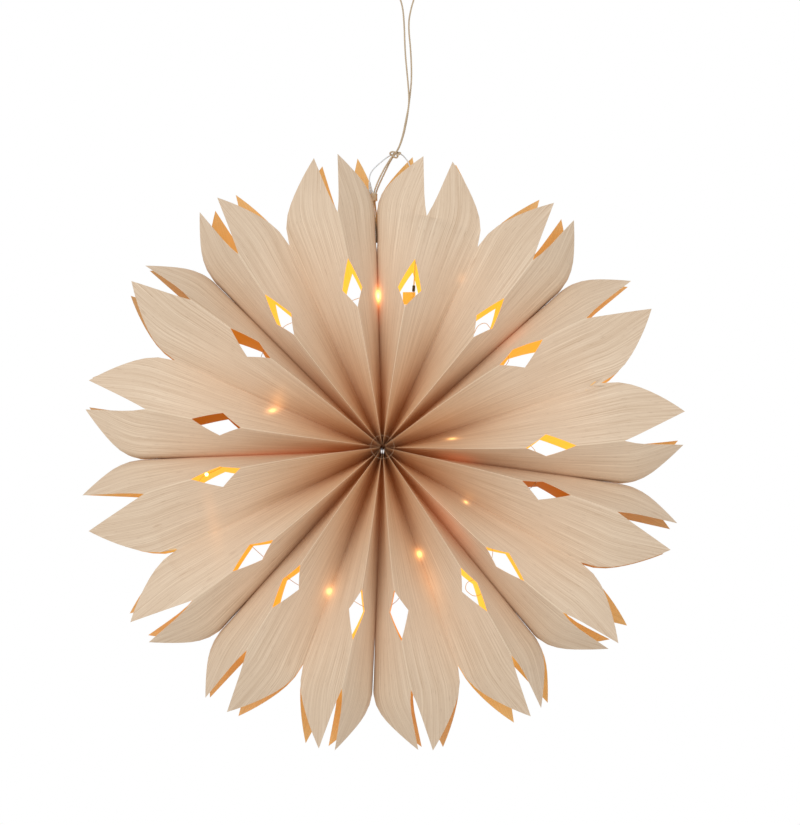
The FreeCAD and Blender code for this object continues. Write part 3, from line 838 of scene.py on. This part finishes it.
def twist(name, curve, group, material, values):
    """The curve with plies laid round it, as a mesh object. The curve itself is removed."""
    modifier = curve.modifiers.new("plies", "NODES")
    modifier.node_group = group
    for item in group.interface.items_tree:
        if item.name in values:
            modifier[item.identifier] = values[item.name]
        if item.name == "Material":
            modifier[item.identifier] = material
    graph = bpy.context.evaluated_depsgraph_get()
    graph.update()
    mesh = bpy.data.meshes.new_from_object(curve.evaluated_get(graph))
    mesh.name = name
    bpy.data.objects.remove(curve)
    made = bpy.data.objects.new(name, mesh)
    bpy.context.collection.objects.link(made)
    return made


def winding(centre, lean, radius, count):
    """The route of turns wound round an axis that leans in the star's plane."""
    axis = Vector((cos(radians(lean)), 0, sin(radians(lean))))
    first = Vector((-axis.z, 0, axis.x))
    second = axis.cross(first)
    middle = Vector(centre)
    points = []
    steps = 10
    for i in range(count * steps + 1):
        turn = 2 * pi * i / steps
        lift = TURN_SPACING * (i / steps - count / 2)
        reach = radius * 1.03
        points.append(middle + axis * lift + first * (reach * cos(turn)) + second * (reach * sin(turn)))
    return [place(*p) for p in points]


def knot_route():
    """The route of a simple knot, drawn tight and wider than it is high."""
    points = []
    for i in range(25):
        t = 2 * pi * (i + 0.5) / 26
        x = (sin(t) + 2 * sin(2 * t)) / 3 * KNOT_SIZE[0]
        z = (cos(t) - 2 * cos(2 * t)) / 3 * KNOT_SIZE[2]
        y = -sin(3 * t) * KNOT_SIZE[1]
        points.append(place(KNOT_CENTRE[0] + x, KNOT_CENTRE[1] + y, KNOT_CENTRE[2] + z))
    return points


def set_material(node, material):
    if not node.material_slots:
        node.data.materials.append(material)
    for slot in node.material_slots:
        slot.material = material


# The add-on


class BagStarSettings(bpy.types.PropertyGroup):
    """The look of the veneer and the strength of the lights."""

    step: bpy.props.FloatProperty(name="Step", description="Size of the bags' faces in millimetres", default=4.5)
    grain: bpy.props.FloatProperty(name="Grain", description="How strong the veneer's grain is", default=1.0)
    pale: bpy.props.FloatVectorProperty(
        name="Pale", description="Palest tone of the veneer, 0 to 255", default=(233, 213, 189), size=3
    )
    deep: bpy.props.FloatVectorProperty(
        name="Deep", description="Darkest tone of the veneer, 0 to 255", default=(194, 166, 137), size=3
    )
    halo: bpy.props.FloatProperty(name="Halo", description="How much light comes through the paper", default=1.0)
    warmth: bpy.props.FloatProperty(
        name="Warmth", description="How much light the paper lets through round the diamonds", default=0.05
    )
    inside: bpy.props.FloatProperty(name="Inside", description="How bright the inside is", default=0.72)
    bead: bpy.props.FloatProperty(name="Bead", description="How bright the beads are", default=6.0)


class BagStarStageSettings(bpy.types.PropertyGroup):
    """The camera and the studio light."""

    distance: bpy.props.FloatProperty(name="Distance", description="Camera to star, in metres", default=2.498)
    height: bpy.props.FloatProperty(name="Height", description="The camera's elevation in degrees", default=-3.9)
    turn: bpy.props.FloatProperty(name="Turn", description="The camera's azimuth in degrees", default=0.0)
    lens: bpy.props.FloatProperty(name="Lens", description="Focal length in millimetres", default=106.2)
    world: bpy.props.FloatProperty(name="World", description="Light from all round", default=0.62)
    key: bpy.props.FloatProperty(name="Key", description="Power of the front lamp in watts", default=36.0)


class BAGSTAR_OT_stage(bpy.types.Operator):
    """Makes the camera, the floor and the studio light"""

    bl_idname = "bagstar.stage"
    bl_label = "Stage"

    def execute(self, context):
        settings = context.scene.bag_star_stage
        scene = context.scene
        centre = place(0, 0, 0)
        up, around = radians(settings.height), radians(settings.turn)
        away = Vector((sin(around) * cos(up), -cos(around) * cos(up), sin(up)))
        camera = bpy.data.objects.new("camera", bpy.data.cameras.new("camera"))
        camera.location = centre + away * settings.distance
        camera.rotation_euler = (-away).to_track_quat("-Z", "Y").to_euler()
        camera.data.lens = settings.lens
        camera.data.sensor_width = 36.0
        camera.data.shift_x = 17.5 / 825
        camera.data.shift_y = 38.8 / 825
        camera.data.clip_end = 60.0
        scene.collection.objects.link(camera)
        scene.camera = camera
        scene.view_settings.view_transform = "Standard"

        world = bpy.data.worlds.new("studio")
        world.use_nodes = True
        scene.world = world
        tree = world.node_tree
        back = tree.nodes["Background"]
        path = add_node(tree, "ShaderNodeLightPath")
        seen = Value(tree, path.outputs["Is Camera Ray"])
        seen = seen.math("MAXIMUM", path.outputs["Is Glossy Ray"]).math("MAXIMUM", path.outputs["Is Transmission Ray"])
        join(tree, back.inputs["Color"], mix(tree, seen, (settings.world,) * 3 + (1.0,), (1.0, 1.0, 1.0, 1.0)))
        back.inputs["Strength"].default_value = 1.0

        mesh = bpy.data.meshes.new("studio_floor")
        floor_z, reach = centre.z - 1.4, 5.0
        corners = [(-reach, -reach, floor_z), (reach, -reach, floor_z), (reach, reach, floor_z), (-reach, reach, floor_z)]
        mesh.from_pydata(corners, [], [(0, 1, 2, 3)])
        floor = bpy.data.objects.new("studio_floor", mesh)
        scene.collection.objects.link(floor)
        material = plain_material("studio floor", (0.86, 0.86, 0.85, 1.0), 0.8, 3.0, 0.03)
        mesh.materials.append(material)

        for name, spot, size, power in (
            ("key", (-1.5, -2.6, 1.1), 1.8, settings.key),
            ("fill", (1.9, -2.4, -0.3), 2.0, settings.key * 0.45),
        ):
            lamp = bpy.data.lights.new(name, "AREA")
            lamp.size = size
            lamp.energy = power
            shown = bpy.data.objects.new(name, lamp)
            shown.location = centre + Vector(spot)
            shown.rotation_euler = (-Vector(spot)).to_track_quat("-Z", "Y").to_euler()
            scene.collection.objects.link(shown)
        return {"FINISHED"}


class BAGSTAR_OT_twine(bpy.types.Operator):
    """Makes the hanging twine with its knot and binding, and the clear lead"""

    bl_idname = "bagstar.twine"
    bl_label = "Twine and lead"

    def execute(self, context):
        twine, group = twine_material(), plies_group()
        strand = STRANDS_APART / 2
        route = [place(x, -strand, z) for x, z in TWINE_FRONT]
        route += [place(x, strand, z) for x, z in TWINE_REAR]
        curve = smooth_curve("twine_route", route)
        path = curve_points(curve)
        hanging = twist("twisted_twine", curve, group, twine, {"Ply radius": 0.0005, "Ply offset": 0.00044, "Lay length": 0.0065})
        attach(hanging, "root")
        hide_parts("hanging_twine")
        for name, node, turns in (
            ("knot_turns", "twine_knot", knot_route()),
            ("binding_turns", "twine_binding", winding(*BINDING)),
        ):
            wound = smooth_curve(name + "_route", turns)
            plies = {"Ply radius": 0.00055, "Ply offset": 0.00048, "Lay length": 0.005, "Step": 0.0008}
            piece = twist(name, wound, group, twine, plies)
            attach(piece, "root")
            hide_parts(node)

        lead = smooth_curve("clear_lead_tube", [place(*point) for point in LEAD_ROUTE])
        points = curve_points(lead)
        lead.data.bevel_depth = LEAD * MM / 2
        lead.data.bevel_resolution = 4
        lead.data.use_fill_caps = True
        clear = clear_material("clear plastic", colour(214, 217, 220), 0.12, 500.0)
        lead.data.materials.append(clear)
        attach(lead, "root")
        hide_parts("clear_lead")
        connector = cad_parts["lead_connector"]
        set_material(connector, clear_material("clear connector", colour(210, 214, 216), 0.5, 400.0))
        return {"FINISHED"}


class BAGSTAR_OT_bags(bpy.types.Operator):
    """Makes the eight folded bags"""

    bl_idname = "bagstar.bags"
    bl_label = "Bags"

    def execute(self, context):
        settings = context.scene.bag_star
        veneer = veneer_material(settings)
        for number in range(len(BAGS)):
            mesh = bag_mesh(number, settings.step)
            mesh.materials.append(veneer)
            bag = bpy.data.objects.new(mesh.name, mesh)
            context.scene.collection.objects.link(bag)
            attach(bag, "root")
            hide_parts(f"bag_{number + 1}")
        return {"FINISHED"}


class BAGSTAR_OT_lights(bpy.types.Operator):
    """Gives the light wire, its beads and its fittings their materials"""

    bl_idname = "bagstar.lights"
    bl_label = "Lights and small pieces"

    def execute(self, context):
        settings = context.scene.bag_star
        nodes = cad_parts
        set_material(nodes["lights"], light_material(settings))
        set_material(nodes["light_wire"], plain_material("bare wire", (0.62, 0.55, 0.46, 1.0), 0.35, 900.0, 0.3, 0.9))
        set_material(nodes["lead_sleeve"], plain_material("black sleeve", (0.02, 0.02, 0.02, 1.0), 0.5, 900.0, 0.3))
        set_material(nodes["centre_thread"], plain_material("pale thread", colour(150, 116, 88), 0.9, 2500.0, 0.25))
        set_material(nodes["wire_tab"], clear_material("pale tab", colour(246, 226, 140), 0.15, 300.0))
        return {"FINISHED"}


class BAGSTAR_PT_panel(bpy.types.Panel):
    """The star's settings and the buttons that make it"""

    bl_label = "Bag star"
    bl_space_type = "VIEW_3D"
    bl_region_type = "UI"
    bl_category = "Bag star"

    def draw(self, context):
        for group in (context.scene.bag_star, context.scene.bag_star_stage):
            for name in group.__annotations__:
                self.layout.prop(group, name)
        for operator in OPERATORS:
            self.layout.operator(operator.bl_idname)


OPERATORS = (BAGSTAR_OT_stage, BAGSTAR_OT_twine, BAGSTAR_OT_bags, BAGSTAR_OT_lights)
CLASSES = (BagStarSettings, BagStarStageSettings) + OPERATORS + (BAGSTAR_PT_panel,)


def register():
    for made in CLASSES:
        bpy.utils.register_class(made)
    bpy.types.Scene.bag_star = bpy.props.PointerProperty(type=BagStarSettings)
    bpy.types.Scene.bag_star_stage = bpy.props.PointerProperty(type=BagStarStageSettings)


def unregister():
    del bpy.types.Scene.bag_star_stage
    del bpy.types.Scene.bag_star
    for made in reversed(CLASSES):
        bpy.utils.unregister_class(made)


def main():
    register()
    bpy.ops.bagstar.stage()
    bpy.ops.bagstar.twine()
    bpy.ops.bagstar.bags()
    bpy.ops.bagstar.lights()


if __name__ == "__main__":
    main()
